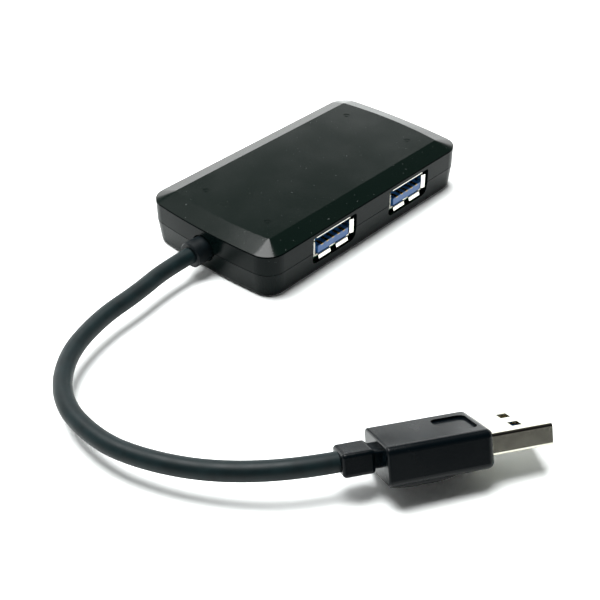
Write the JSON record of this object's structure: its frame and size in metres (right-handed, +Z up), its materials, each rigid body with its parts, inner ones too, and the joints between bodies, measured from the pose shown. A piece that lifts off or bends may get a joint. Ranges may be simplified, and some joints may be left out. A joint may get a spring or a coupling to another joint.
{
  "type": "usb hub",
  "caption": "Low rectangular USB hub with bevelled top cover, Standard-A sockets in both long sides and a short captive cable ending in a Standard-A plug.",
  "frame": {"origin": "middle of the underside of the case", "axes": "+X along the case, away from the cable; sockets face -Y and +Y; +Z up out of the top cover"},
  "size_m": [0.1353, 0.1181, 0.0134],
  "materials": {
    "case_plastic": "satin dark grey ABS with a fine moulded texture",
    "cover_plastic": "satin-gloss dark grey ABS",
    "board_laminate": "green solder mask over glass laminate",
    "chip_plastic": "black moulded epoxy",
    "ferrite": "dark grey ferrite",
    "crystal_can": "plated steel lid",
    "fuse_body": "green polymer strip with tinned ends",
    "capacitor_body": "tan ceramic with tinned ends",
    "resistor_body": "black film on white ceramic",
    "solder": "bright solder",
    "wire_red": "red insulation",
    "wire_black": "black insulation",
    "wire_green": "green insulation",
    "wire_white": "white insulation",
    "pair_foil": "foil wrapped pair",
    "gland_rubber": "matte black elastomer",
    "cable_jacket": "matte dark grey elastomer jacket",
    "plug_plastic": "satin black overmold",
    "plug_steel": "nickel plated steel",
    "port_steel": "nickel plated spring steel",
    "tongue_plastic": "blue thermoplastic",
    "contact_gold": "gold plated contact sheet"
  },
  "bodies": {
    "root": {"cable": "cable_jacket", "cable_gland": "gland_rubber", "chip_capacitors": "capacitor_body", "chip_resistors": "resistor_body", "circuit_board": "board_laminate", "crystal": "crystal_can", "data_minus_wire": "wire_white", "data_plus_wire": "wire_green", "ground_wire": "wire_black", "hub_controller": "chip_plastic", "lower_shell": "case_plastic", "plug_contacts": "contact_gold", "plug_insulator": "tongue_plastic", "plug_overmold": "plug_plastic", "plug_shell": "plug_steel", "port_contacts_front_left": "contact_gold", "port_contacts_front_right": "contact_gold", "port_contacts_rear_left": "contact_gold", "port_contacts_rear_right": "contact_gold", "port_shell_front_left": "port_steel", "port_shell_front_right": "port_steel", "port_shell_rear_left": "port_steel", "port_shell_rear_right": "port_steel", "port_tongue_front_left": "tongue_plastic", "port_tongue_front_right": "tongue_plastic", "port_tongue_rear_left": "tongue_plastic", "port_tongue_rear_right": "tongue_plastic", "power_inductor": "ferrite", "power_wire": "wire_red", "resettable_fuse": "fuse_body", "solder_joints": "solder", "superspeed_receive_pair": "pair_foil", "superspeed_send_pair": "pair_foil", "top_cover": "cover_plastic", "upper_shell": "case_plastic", "voltage_regulator": "chip_plastic"}
  },
  "joints": []
}
